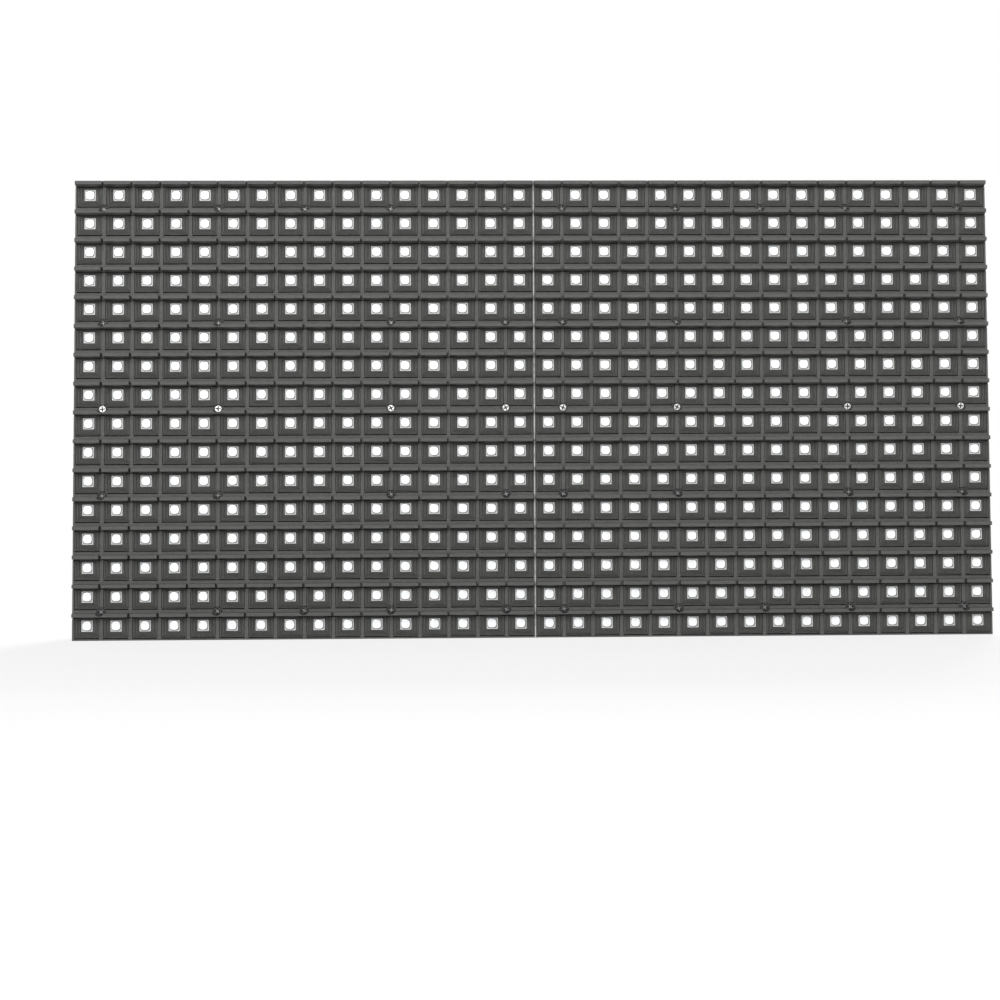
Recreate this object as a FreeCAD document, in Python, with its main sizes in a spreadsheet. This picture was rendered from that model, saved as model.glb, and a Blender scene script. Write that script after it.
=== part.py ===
import FreeCAD, Part
import math
import os
import re
import Sketcher

# An outdoor surface-mount LED display module, upright on its lower edge.
# X runs along the width, the lit face looks towards -Y and Z is up. The origin is
# at the bottom centre of the part's box. Millimetres, degrees and plain counts.
SIZES = {
    "pitch": 10.0,
    "columns": 32,
    "rows": 16,
    "led_size": 3.8,
    "led_height": 2.6,
    "mask_depth": 3.2,
    "mask_seam": 0.3,
    "mask_margin": 0.6,
    "slot_above": 3.6,
    "slot_below": 3.9,
    "slot_taper": 1.4,
    "visor_thickness": 1.2,
    "visor_reach": 3.2,
    "board_thickness": 1.6,
    "board_clearance": 0.4,
    "seat_wall": 1.5,
    "frame_depth": 12.0,
    "land_width": 4.4,
    "land_radius": 18.0,
    "field_depth": 2.5,
    "opening_end": 18.5,
    "opening_edge": 19.2,
    "rib_width": 2.4,
    "rib_row": 30.0,
    "post_inner": 10.0,
    "post_middle": 50.0,
    "post_plain": 80.0,
    "post_outer": 110.0,
    "boss_width": 7.7,
    "bulge_reach": 7.4,
    "bulge_width": 6.4,
    "insert_width": 5.4,
    "insert_bore": 3.3,
    "insert_length": 8.0,
    "end_bolt_inset": 10.0,
    "end_bolt_up": 45.0,
    "edge_bolt_inset": 10.5,
    "corner_bolt_across": 126.0,
    "centre_bolt_across": 35.0,
    "peg_width": 2.5,
    "peg_reach": 1.5,
    "peg_across": 85.0,
    "chip_length": 8.65,
    "chip_width": 3.9,
    "chip_height": 1.5,
    "logic_length": 4.9,
    "logic_width": 3.9,
    "capacitor_base": 8.3,
    "capacitor_base_height": 1.2,
    "capacitor_can": 6.6,
    "capacitor_can_height": 6.6,
    "capacitor_gap": 2.3,
    "header_length": 28.0,
    "header_width": 9.0,
    "header_height": 8.8,
    "header_wall": 1.2,
    "header_floor": 2.4,
    "key_width": 4.5,
    "power_length": 17.8,
    "power_width": 8.5,
    "power_height": 8.6,
    "power_floor": 3.2,
    "power_wall": 1.2,
}
# Bosses, bushes and the peg are drawn with flats, and so are the cans.
SIDES_OF_KNURL = 8
SIDES_OF_CAN = 16

# Where the parts on the board's rear lie: the bay between the ribs, then how far each leans
# across, outwards from the middle of the panel, and up or down, away from its middle line.
# A lean runs from -1, against one wall of the room that the part has there, to 1, against the
# other. The upper driver chips mirror the lower ones.
DRIVERS_RIGHT = (
    ("third", 0.36, 0.56),
    ("second", 0.37, 0.56),
    ("end", 0.33, 0.62),
    ("wide", 0.45, -0.17),
    ("wide", -0.79, -0.17),
    ("narrow", -0.30, -0.17),
)
DRIVERS_LEFT = (
    ("second", 0.26, 0.52),
    ("third", 0.07, 0.52),
    ("narrow", -0.24, -0.23),
    ("wide", -0.87, -0.23),
    ("wide", 0.52, -0.25),
    ("end", 0.05, 0.74),
)
LOGIC_RIGHT = (("centre", 0.83, 0.40), ("inner", -0.44, 0.46))
LOGIC_LEFT = (("centre", 0.90, 0.37), ("inner", -0.40, 0.45))
CAPACITOR_RIGHT, CAPACITOR_LEFT = -0.25, -0.45
HEADER_LEAN = 0.14
SUPPLY_LEAN = 0.49

# Places along Y, from the visor tips back to the end of the locating peg.
TIP = "-(visor_reach + mask_depth + board_thickness + frame_depth + peg_reach) / 2"
MASK_FRONT = TIP + " + visor_reach"
BOARD_FRONT = MASK_FRONT + " + mask_depth"
BOARD_REAR = BOARD_FRONT + " + board_thickness"
REAR = BOARD_REAR + " + frame_depth"
FIELD = REAR + " - field_depth"
CENTRE = "pitch * rows / 2"
HALF_WIDTH = "pitch * columns / 2"
HALF_HEIGHT = "pitch * rows / 2"
# Edges of the frame and its ribs, from the panel's middle outwards.
THIN = "rib_width / 2"
SLANT = "rib_width / 2 * sqrt(2)"
ROW = "(rib_row - " + THIN + ")"
NEAR = "(rib_row + " + THIN + ")"
OPENING_END = "(" + HALF_WIDTH + " - opening_end)"
OPENING_EDGE = "(" + HALF_HEIGHT + " - opening_edge)"
CORNER = "(rib_row + " + THIN + " - " + SLANT + ")"

# How a sketch numbers the places on its lines and arcs, in order.
SPOTS = ("whole", "start", "end", "middle")
START, END, MIDDLE = (SPOTS.index(spot) for spot in SPOTS[1:])
ORIGIN = -START

doc = FreeCAD.newDocument("led_matrix_panel")
sheet = doc.addObject("Spreadsheet::Sheet", "Sizes")
for row, (alias, size) in enumerate(SIZES.items(), start=1):
    sheet.set("A%d" % row, alias.replace("_", " "))
    sheet.set("B%d" % row, str(size))
    sheet.setAlias("B%d" % row, alias)
doc.recompute()
parts = []


def bound(text):
    """The same expression with each name of the sheet written in full."""
    def in_full(match):
        word = match.group(0)
        return "Sizes." + word if word in SIZES else word
    return re.sub(r"[a-z_]+", in_full, text)


def value(text):
    """What an expression of the sheet's names comes to now."""
    return float(sheet.evalExpression(bound(text)))


def bind(item, **places):
    """Tie properties to expressions. Two underlines stand for the dot of a longer property name."""
    for name, text in places.items():
        item.setExpression(name.replace("__", "."), bound(text))


def new_body(name):
    body = doc.addObject("PartDesign::Body", name)
    body.Label = name
    parts.append(body)
    return body


def sketch_at(body, name, depth):
    """An empty sketch centred on the panel at one depth, with X to the right and Z up."""
    sketch = body.newObject("Sketcher::SketchObject", body.Name + "_" + name)
    plane = next(item for item in body.Origin.OriginFeatures if item.Role == "XZ_Plane")
    sketch.AttachmentSupport = (plane, "")
    sketch.MapMode = "FlatFace"
    bind(sketch, AttachmentOffset__Base__y=CENTRE, AttachmentOffset__Base__z="-(" + depth + ")")
    return sketch


def hold(sketch, line, point, across, up):
    """Fix one end of a line, or a centre, at two expressions measured from the sketch's origin."""
    for kind, text in (("DistanceX", across), ("DistanceY", up)):
        rule = Sketcher.Constraint(kind, ORIGIN, START, line, point, value(text))
        sketch.setExpression("Constraints[%d]" % sketch.addConstraint(rule), bound(text))


def join_corners(sketch, first, count):
    """Make neighbouring lines of a closed run share their ends."""
    for i in range(count):
        before = first + (i - 1) % count
        sketch.addConstraint(Sketcher.Constraint("Coincident", before, END, first + i, START))


def outline(sketch, corners):
    """A closed run of straight lines through corners, each a pair of expressions."""
    first = sketch.GeometryCount
    points = [FreeCAD.Vector(value(across), value(up), 0) for across, up in corners]
    for here, there in zip(points, points[1:] + points[:1]):
        sketch.addGeometry(Part.LineSegment(here, there))
    join_corners(sketch, first, len(corners))
    for line, (across, up) in enumerate(corners, start=first):
        hold(sketch, line, START, across, up)


def rectangle(sketch, left, right, bottom, top):
    outline(sketch, ((left, bottom), (right, bottom), (right, top), (left, top)))


def knurl(sketch, across, up, width):
    """A many-sided outline with its flats at half the width from its centre."""
    turn = 360 / SIDES_OF_KNURL
    reach = "(%s) / 2 / cos(%s)" % (width, turn / 2)
    angles = [turn * (i + 0.5) for i in range(SIDES_OF_KNURL)]
    outline(sketch, [
        ("%s + %s * cos(%s)" % (across, reach, angle), "%s + %s * sin(%s)" % (up, reach, angle))
        for angle in angles
    ])


def circle(sketch, across, up, radius):
    spot = FreeCAD.Vector(value(across), value(up), 0)
    ring = sketch.addGeometry(Part.Circle(spot, FreeCAD.Vector(0, 0, 1), value(radius)))
    hold(sketch, ring, MIDDLE, across, up)
    rule = sketch.addConstraint(Sketcher.Constraint("Radius", ring, value(radius)))
    sketch.setExpression("Constraints[%d]" % rule, bound(radius))


def rounded_rectangle(sketch, half_width, half_height, radius):
    """A rectangle about the sketch's origin whose corners are arcs."""
    first = sketch.GeometryCount
    wide, high, bend = value(half_width), value(half_height), value(radius)
    quarter = math.radians(90)
    lines = (
        ((bend - wide, -high), (wide - bend, -high)),
        ((wide, bend - high), (wide, high - bend)),
        ((wide - bend, high), (bend - wide, high)),
        ((-wide, high - bend), (-wide, bend - high)),
    )
    centres = (
        (wide - bend, bend - high), (wide - bend, high - bend),
        (bend - wide, high - bend), (bend - wide, bend - high),
    )
    for i, (ends, spot) in enumerate(zip(lines, centres)):
        sketch.addGeometry(Part.LineSegment(*(FreeCAD.Vector(x, z, 0) for x, z in ends)))
        ring = Part.Circle(FreeCAD.Vector(*spot, 0), FreeCAD.Vector(0, 0, 1), bend)
        start = (i - 1) * quarter
        sketch.addGeometry(Part.ArcOfCircle(ring, start, start + quarter))
    count = 2 * len(lines)
    for i in range(0, count, 2):
        line, arc, after = first + i, first + i + 1, first + (i + 2) % count
        sketch.addConstraint(Sketcher.Constraint("Tangent", line, END, arc, START))
        sketch.addConstraint(Sketcher.Constraint("Tangent", arc, END, after, START))
        sketch.addConstraint(Sketcher.Constraint("Vertical" if i % 4 else "Horizontal", line))
        rule = sketch.addConstraint(Sketcher.Constraint("Radius", arc, bend))
        sketch.setExpression("Constraints[%d]" % rule, bound(radius))
    for kind, line, text in (
        ("DistanceY", first, "-(%s)" % half_height),
        ("DistanceX", first + 2, half_width),
        ("DistanceY", first + 4, half_height),
        ("DistanceX", first + 6, "-(%s)" % half_width),
    ):
        rule = sketch.addConstraint(Sketcher.Constraint(kind, ORIGIN, START, line, START, value(text)))
        sketch.setExpression("Constraints[%d]" % rule, bound(text))


def bulge(sketch, across, up, reach, width, sideways):
    """The blunt swelling round a boss, from the boss's centre out to the edge nearest to it."""
    narrow = "%s / 2" % width
    broad = "%s * 3 / 4" % width
    profile = (("-" + broad, "0"), ("-" + narrow, reach), (narrow, reach), (broad, "0"))
    if sideways:
        profile = [(out, along) for along, out in profile]
    outline(sketch, [("%s + %s" % (across, x), "%s + %s" % (up, z)) for x, z in profile])


def feature(kind, sketch, length, forward):
    """Raise or sink a sketch. forward is True where it runs towards the lit side, along -Y."""
    body = sketch.getParentGeoFeatureGroup()
    doc.recompute()
    before = body.Shape.Volume if body.Tip else 0.0
    item = body.newObject("PartDesign::" + kind, sketch.Name + "_" + kind)
    item.Profile = sketch
    item.Reversed = forward == (kind == "Pocket")
    bind(item, Length=length)
    doc.recompute()
    grown = body.Shape.Volume - before
    if (grown > 0) != (kind == "Pad"):
        raise ValueError(item.Name + " changes the solid the wrong way")
    return item


def repeat(items, sketch, axis, length, count):
    """Copies of features in a row along an axis of their sketch."""
    body = sketch.getParentGeoFeatureGroup()
    row = body.newObject("PartDesign::LinearPattern", sketch.Name + "_row")
    row.Originals = items
    row.Direction = (sketch, [axis])
    bind(row, Length=length, Occurrences=count)
    body.Tip = row


def in_four_quarters(items, sketch):
    """Features mirrored over both middle lines of the panel."""
    body = sketch.getParentGeoFeatureGroup()
    quarters = body.newObject("PartDesign::MultiTransform", sketch.Name + "_quarters")
    quarters.Originals = items
    mirrors = []
    for axis in ("V_Axis", "H_Axis"):
        mirror = body.newObject("PartDesign::Mirrored", sketch.Name + "_" + axis[0])
        mirror.MirrorPlane = (sketch, [axis])
        mirrors.append(mirror)
    quarters.Transformations = mirrors
    body.Tip = quarters


def mask_half(name, side):
    """A moulded louvre: tapered slots that show a row of LEDs each, with a visor above every slot."""
    body = new_body(name)
    inner = "%d * mask_seam / 2" % side
    outer = "%d * %s" % (side, HALF_WIDTH)
    sheet_face = sketch_at(body, "outline", MASK_FRONT)
    rectangle(sheet_face, inner, outer, "-" + HALF_HEIGHT, HALF_HEIGHT)
    feature("Pad", sheet_face, "mask_depth", forward=False)
    margin = " %%s %d * mask_margin" % side
    ends = sorted((inner + margin % "+", outer + margin % "-"), key=value)
    first = "pitch / 2"
    slot = body.newObject("PartDesign::SubtractiveWedge", name + "_slot")
    bind(
        slot, Ymin=MASK_FRONT, Xmin=ends[0], Xmax=ends[1],
        Zmin=first + " - slot_below", Zmax=first + " + slot_above",
        Ymax=BOARD_FRONT, X2min=ends[0] + " + slot_taper", X2max=ends[1] + " - slot_taper",
        Z2min=first + " - slot_below + slot_taper", Z2max=first + " + slot_above - slot_taper",
    )
    visor = sketch_at(body, "visor", MASK_FRONT)
    lowest = "-pitch * (rows - 1) / 2 + slot_above"
    rectangle(visor, ends[0], ends[1], lowest, lowest + " + visor_thickness")
    shade = feature("Pad", visor, "visor_reach", forward=True)
    repeat([slot, shade], visor, "V_Axis", "pitch * (rows - 1)", "rows")


def led_row(number):
    """One line of LED packages, soldered to the front of the board."""
    body = new_body("led_row_%02d" % number)
    centre = "pitch * ((rows + 1) / 2 - %d)" % number
    first = "-pitch * (columns - 1) / 2"
    square = sketch_at(body, "package", BOARD_FRONT)
    rectangle(
        square, first + " - led_size / 2", first + " + led_size / 2",
        centre + " - led_size / 2", centre + " + led_size / 2",
    )
    package = feature("Pad", square, "led_height", forward=True)
    repeat([package], square, "H_Axis", "pitch * (columns - 1)", "columns")


def circuit_board():
    body = new_body("circuit_board")
    inset = " - seat_wall - board_clearance"
    edge = sketch_at(body, "outline", BOARD_FRONT)
    across, up = "(%s%s)" % (HALF_WIDTH, inset), "(%s%s)" % (HALF_HEIGHT, inset)
    rectangle(edge, "-" + across, across, "-" + up, up)
    feature("Pad", edge, "board_thickness", forward=False)


def compartments(sketch):
    """The bays between the ribs."""
    rectangle(sketch, "-post_inner + " + THIN, "post_inner - " + THIN, "-" + ROW, ROW)
    for up in (1, -1):
        near, far = "%d * %s" % (up, NEAR), "%d * %s" % (up, OPENING_EDGE)
        narrow = "(post_inner - %s + %s)" % (SLANT, THIN)
        broad = "(post_inner + %s - rib_row - %s)" % (OPENING_EDGE, SLANT)
        outline(sketch, (("-" + narrow, near), (narrow, near), (broad, far), ("-" + broad, far)))
    for side in (1, -1):
        posts = ("post_inner", "post_middle", "post_plain", "post_outer")
        for inner, outer in zip(posts, posts[1:]):
            rectangle(
                sketch, "%d * (%s + %s)" % (side, inner, THIN), "%d * (%s - %s)" % (side, outer, THIN),
                "-" + ROW, ROW,
            )
        post = "%d * (post_outer + %s)" % (side, THIN)
        end = "%d * %s" % (side, OPENING_END)
        high = "(rib_row + %s - post_outer - %s)" % (OPENING_END, SLANT)
        outline(sketch, ((post, "-" + CORNER), (end, "-" + high), (end, high), (post, CORNER)))
        shift = "%d * (%s - %s)" % (side, OPENING_EDGE, NEAR)
        for up in (1, -1):
            near, far = "%d * %s" % (up, NEAR), "%d * %s" % (up, OPENING_EDGE)
            for inner, outer in (("post_inner", "post_middle"), ("post_middle", "post_outer")):
                start = "%d * (%s + %s + %s)" % (side, inner, THIN, SLANT)
                stop = "%d * (%s + %s - %s)" % (side, outer, THIN, SLANT)
                outline(sketch, (
                    (start, near), (stop, near),
                    (stop + " + " + shift, far), (start + " + " + shift, far),
                ))


def bolt_places():
    """The inserts of one quarter. The last value is True where the nearest edge is at the side."""
    side = HALF_WIDTH + " - end_bolt_inset"
    edge = HALF_HEIGHT + " - edge_bolt_inset"
    return (
        (side, "end_bolt_up", True),
        ("corner_bolt_across", edge, False),
        ("centre_bolt_across", edge, False),
    )


def rear_frame():
    """The moulded rear housing: proud outer land, sunk field, ribs, bosses and locating peg."""
    body = new_body("rear_frame")
    block = sketch_at(body, "outline", BOARD_FRONT)
    rectangle(block, "-" + HALF_WIDTH, HALF_WIDTH, "-" + HALF_HEIGHT, HALF_HEIGHT)
    feature("Pad", block, "board_thickness + frame_depth", forward=False)
    seat = sketch_at(body, "seat", BOARD_FRONT)
    across, up = "(%s - seat_wall)" % HALF_WIDTH, "(%s - seat_wall)" % HALF_HEIGHT
    rectangle(seat, "-" + across, across, "-" + up, up)
    feature("Pocket", seat, "board_thickness", forward=False)

    field = sketch_at(body, "field", REAR)
    rounded_rectangle(field, HALF_WIDTH + " - land_width", HALF_HEIGHT + " - land_width", "land_radius")
    feature("Pocket", field, "field_depth", forward=True)
    windows = sketch_at(body, "windows", FIELD)
    compartments(windows)
    feature("Pocket", windows, "frame_depth - field_depth", forward=True)

    bulges = sketch_at(body, "bulges", REAR)
    bosses = sketch_at(body, "bosses", FIELD)
    sockets = sketch_at(body, "sockets", REAR)
    for across, up, sideways in bolt_places():
        bulge(bulges, across, up, "bulge_reach", "bulge_width", sideways)
        knurl(bosses, across, up, "boss_width")
        knurl(sockets, across, up, "insert_width")
    in_four_quarters([
        feature("Pocket", bulges, "field_depth", forward=True),
        feature("Pad", bosses, "field_depth", forward=False),
        feature("Pocket", sockets, "insert_length", forward=True),
    ], bulges)

    peg = sketch_at(body, "peg", FIELD)
    knurl(peg, "peg_across", "edge_bolt_inset - " + HALF_HEIGHT, "peg_width")
    feature("Pad", peg, "field_depth + peg_reach", forward=False)


def brass_inserts():
    """Threaded brass bushes moulded into the bosses, drawn at the thread's core."""
    body = new_body("brass_inserts")
    bush = sketch_at(body, "bush", REAR)
    for across, up, _ in bolt_places():
        knurl(bush, across, up, "insert_width")
        circle(bush, across, up, "insert_bore / 2")
    in_four_quarters([feature("Pad", bush, "insert_length", forward=True)], bush)


def block(name, across, up, length, width, foot, height, listed=True):
    """A box standing on the board's rear, centred across and up. length runs along X."""
    box = doc.addObject("Part::Box", name)
    box.Label = name
    bind(
        box, Length=length, Width=height, Height=width,
        Placement__Base__x="%s - (%s) / 2" % (across, length),
        Placement__Base__y=BOARD_REAR + " + " + foot,
        Placement__Base__z="%s + %s - (%s) / 2" % (CENTRE, up, width),
    )
    if listed:
        parts.append(box)
    return box


def cut(name, base, tools):
    """A block with others taken out of it."""
    for i, tool in enumerate(tools):
        shape = doc.addObject("Part::Cut", name if i == len(tools) - 1 else "%s_step_%d" % (name, i))
        shape.Base, shape.Tool = base, tool
        shape.Refine = True
        base = shape
    base.Label = name
    parts.append(base)


def between(low, high, size, lean):
    """The middle of a part of one size that leans towards either of two walls."""
    return "((%s + %s) / 2 + %s * (%s - (%s) - (%s)) / 2)" % (low, high, lean, high, low, size)


def place(bay, length, width, lean_across, lean_up):
    """Where a part lies in a bay, as distances outwards and away from the panel's middle."""
    posts = {
        "inner": ("post_inner", "post_middle"), "second": ("post_middle", "post_plain"),
        "third": ("post_plain", "post_outer"),
        "narrow": ("post_inner", "post_middle"), "wide": ("post_middle", "post_outer"),
    }
    half = "(%s) / 2" % width
    if bay == "end":
        wall = "(post_outer + %s)" % THIN
        across = between(wall, OPENING_END, length, lean_across)
        brace = "(%s + %s - (%s) / 2 - %s)" % (CORNER, across, length, wall)
        return across, between("header_length / 2", brace, width, lean_up)
    if bay in ("inner", "second", "third"):
        inner, outer = posts[bay]
        across = between("(%s + %s)" % (inner, THIN), "(%s - %s)" % (outer, THIN), length, lean_across)
        return across, between("-" + ROW, ROW, width, lean_up)
    up = between(NEAR, OPENING_EDGE, width, lean_up)
    if bay == "centre":
        brace = "(post_inner - %s + %s + %s - %s - %s)" % (SLANT, THIN, up, half, NEAR)
        return between("-" + brace, brace, length, lean_across), up
    inner, outer = posts[bay]
    low = "(%s + %s + %s + %s + %s - %s)" % (inner, THIN, SLANT, up, half, NEAR)
    high = "(%s + %s - %s + %s - %s - %s)" % (outer, THIN, SLANT, up, half, NEAR)
    return between(low, high, length, lean_across), up


def data_header(name, side):
    """A shrouded plug for the ribbon cable, open to the rear, with a keyway in its inner wall."""
    middle, _ = place("end", "header_width", "0", HEADER_LEAN, 0)
    across = "%d * %s" % (side, middle)
    inner_wall = "%d * (%s - header_width / 2)" % (side, middle)
    depth = "header_height - header_floor"
    body = block(name + "_body", across, "0", "header_width", "header_length", "0", "header_height", False)
    well = block(
        name + "_well", across, "0", "header_width - 2 * header_wall",
        "header_length - 2 * header_wall", "header_floor", depth, False,
    )
    key = block(
        name + "_key", inner_wall, "0", "2 * header_wall", "key_width", "header_floor", depth, False,
    )
    cut(name, body, (well, key))


def power_header(name):
    """The supply plug: a floor with one tall locking wall behind its pins."""
    across, up = place("inner", "power_length", "power_width", 0, SUPPLY_LEAN)
    body = block(name + "_body", across, up, "power_length", "power_width", "0", "power_height", False)
    space = block(
        name + "_space", across, up + " - power_wall", "power_length",
        "power_width", "power_floor", "power_height - power_floor", False,
    )
    cut(name, body, (space,))


def capacitor(number, across, up):
    """A surface-mount electrolytic: an aluminium can on a moulded foot."""
    block(
        "capacitor_base_%d" % number, across, up, "capacitor_base", "capacitor_base",
        "0", "capacitor_base_height",
    )
    can = doc.addObject("Part::Prism", "capacitor_can_%d" % number)
    can.Label = can.Name
    can.Polygon = SIDES_OF_CAN
    can.Placement.Rotation = FreeCAD.Rotation(FreeCAD.Vector(1, 0, 0), -90)
    bind(
        can, Circumradius="capacitor_can / 2", Height="capacitor_can_height",
        Placement__Base__x=across, Placement__Base__y=BOARD_REAR + " + capacitor_base_height",
        Placement__Base__z=CENTRE + " + " + up,
    )
    parts.append(can)


def chips(name, first, length, width, side, level, places):
    """A run of chips on one side, above the panel's middle line or below it."""
    for number, (bay, lean_across, lean_up) in enumerate(places, start=first):
        across, up = place(bay, length, width, lean_across, lean_up)
        block(
            name % number, "%d * %s" % (side, across), "%d * %s" % (level, up),
            length, width, "0", "chip_height",
        )


def electronics():
    """What stands on the rear of the board."""
    first = 1
    for level in (-1, 1):
        for side, places in ((1, DRIVERS_RIGHT), (-1, DRIVERS_LEFT)):
            chips("driver_chip_%02d", first, "chip_length", "chip_width", side, level, places)
            first += len(places)
    first = 1
    sides = ((1, LOGIC_RIGHT, CAPACITOR_RIGHT), (-1, LOGIC_LEFT, CAPACITOR_LEFT))
    for number, (side, places, lean) in enumerate(sides, start=1):
        chips("logic_chip_%d", first, "logic_length", "logic_width", side, -1, places)
        first += len(places)
        bay, _, lean_up = places[-1]
        across, _ = place(bay, "capacitor_base", "capacitor_base", lean, 0)
        _, chip_up = place(bay, "logic_length", "logic_width", 0, lean_up)
        up = "-(%s + (logic_width + capacitor_base) / 2 + capacitor_gap)" % chip_up
        capacitor(number, "%d * %s" % (side, across), up)
    data_header("data_in_header", 1)
    data_header("data_out_header", -1)
    power_header("power_header")


def check_and_export():
    """Test every object and sub-part, then write one file for each sub-part."""
    doc.recompute()
    broken = [item.Name for item in doc.Objects if {"Invalid", "Error"} & set(item.State)]
    if broken:
        raise ValueError("failed objects: " + ", ".join(broken))
    for part in parts:
        if part.Shape.isNull() or not part.Shape.isValid():
            raise ValueError(part.Label + " has no valid shape")
    os.makedirs("parts", exist_ok=True)
    for part in parts:
        part.Shape.exportStep("parts/%s.step" % part.Label)
        print(part.Label, len(part.Shape.Solids), round(part.Shape.Volume, 1))


mask_half("mask_right", 1)
mask_half("mask_left", -1)
for number in range(1, SIZES["rows"] + 1):
    led_row(number)
circuit_board()
rear_frame()
brass_inserts()
electronics()
check_and_export()
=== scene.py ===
import math
from itertools import pairwise

import bmesh
import bpy
import numpy as np
from bpy.props import FloatProperty, FloatVectorProperty, IntProperty, PointerProperty
from mathutils import Euler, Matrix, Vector
from mathutils.geometry import tessellate_polygon


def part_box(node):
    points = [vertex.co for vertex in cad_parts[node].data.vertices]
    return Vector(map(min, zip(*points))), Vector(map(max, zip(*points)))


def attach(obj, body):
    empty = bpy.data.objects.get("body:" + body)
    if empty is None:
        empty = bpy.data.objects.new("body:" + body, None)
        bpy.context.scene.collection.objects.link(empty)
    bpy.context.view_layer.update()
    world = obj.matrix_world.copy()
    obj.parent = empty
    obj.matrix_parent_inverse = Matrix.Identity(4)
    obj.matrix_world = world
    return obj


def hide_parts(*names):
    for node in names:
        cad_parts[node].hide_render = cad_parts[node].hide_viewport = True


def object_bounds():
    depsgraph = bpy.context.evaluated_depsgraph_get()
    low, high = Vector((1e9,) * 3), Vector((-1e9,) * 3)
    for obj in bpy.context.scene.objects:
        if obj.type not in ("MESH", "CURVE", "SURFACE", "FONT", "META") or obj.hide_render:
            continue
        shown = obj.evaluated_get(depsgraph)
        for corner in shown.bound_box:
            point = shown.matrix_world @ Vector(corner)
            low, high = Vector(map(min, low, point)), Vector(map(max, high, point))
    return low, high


bl_info = {
    "name": "LED matrix panel",
    "version": (1, 0, 0),
    "blender": (4, 5, 0),
    "location": "3D View > Sidebar > LED Panel",
    "description": "Dresses an outdoor LED matrix module: louvred mask, LEDs, board and ribbed housing",
    "category": "Object",
}

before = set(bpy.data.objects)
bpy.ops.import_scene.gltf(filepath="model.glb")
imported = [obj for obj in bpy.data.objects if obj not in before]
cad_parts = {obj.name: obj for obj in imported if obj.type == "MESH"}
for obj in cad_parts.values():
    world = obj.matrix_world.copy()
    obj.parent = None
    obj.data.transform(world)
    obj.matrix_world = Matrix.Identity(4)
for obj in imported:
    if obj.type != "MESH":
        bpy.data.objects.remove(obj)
CAD_BOX = [list(corner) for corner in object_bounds()]
MM = 0.001
ROUND = 2 * math.pi


def limits(node):
    """A node's lowest and highest corner in millimetres, with heights from the panel's middle."""
    return [np.array(corner) / MM - (0, 0, MIDDLE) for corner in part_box(node)]


MIDDLE = (CAD_BOX[0][2] + CAD_BOX[1][2]) / 2 / MM
HALF_WIDTH = CAD_BOX[1][0] / MM
HALF_HEIGHT = MIDDLE - CAD_BOX[0][2] / MM
TIP, BOARD_FRONT = (corner[1] for corner in limits("mask_left"))
SEAM = -limits("mask_left")[1][0]
LED_TOP = limits("led_row_01")[0][1]
BOARD_REAR = limits("circuit_board")[1][1]
INSERT_END, REAR = (corner[1] for corner in limits("brass_inserts"))
PEG_END = limits("rear_frame")[1][1]
PITCH = 10.0
COLUMNS = np.arange(32) * PITCH - 155.0
ROWS = 75.0 - np.arange(16) * PITCH
MASK_SCREWS = [
    (side * across, up)
    for up, places in ((70, (10, 50, 80, 110, 150)), (30, (10, 50, 110, 150)), (0, (10, 50, 110, 150)))
    for across in places
    for side in (-1, 1)
]
MASK_SCREWS += [(across, -up) for across, up in MASK_SCREWS if up]
BOSSES = [
    (side * across, level * up)
    for across, up in ((150.0, 45.0), (126.0, 69.5), (35.0, 69.5))
    for side in (-1, 1)
    for level in (-1, 1)
]
PEG = (85.0, -69.5)
# How far tracks run from the board's middle, across and up.
BOARD_REACH = np.array([156.0, 76.0])
# The number of leads on each side of a driver chip, and their pitch.
DRIVER_LEADS = (12, 0.65)
HEADERS = ("data_in_header", "data_out_header", "power_header")


def weld(points, faces):
    """Points that share a place become one, and the faces follow them."""
    kept, where = np.unique(np.round(points, 4), axis=0, return_inverse=True)
    where = where.ravel()
    merged = []
    for face in faces:
        corners = where[np.asarray(face)]
        corners = corners[corners != np.roll(corners, 1)]
        if len(corners) > 2:
            merged.append(corners.tolist())
    return kept, merged


def from_polygons(polygons):
    """Polygons given corner by corner, as an array of points and the faces' numbers."""
    counts = [len(p) for p in polygons]
    stops = np.cumsum(counts)
    return weld(np.concatenate(polygons), [range(b - n, b) for n, b in zip(counts, stops)])


def repeated(shape, places):
    """The same shape at each of several (across, up) places: every point plus every place."""
    points, faces = shape
    places = np.insert(np.asarray(places, float).reshape(-1, 2), 1, 0.0, axis=1)
    moved = (points[None] + places[:, None]).reshape(-1, 3)
    steps = np.arange(len(places)) * len(points)
    return moved, [[corner + step for corner in face] for step in steps.tolist() for face in faces]


def joined(shapes):
    """Several shapes as one, their faces numbered on."""
    points, faces, count = [], [], 0
    for some, theirs in shapes:
        points.append(np.asarray(some, float))
        faces += [[corner + count for corner in face] for face in theirs]
        count += len(some)
    return np.concatenate(points), faces


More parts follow.
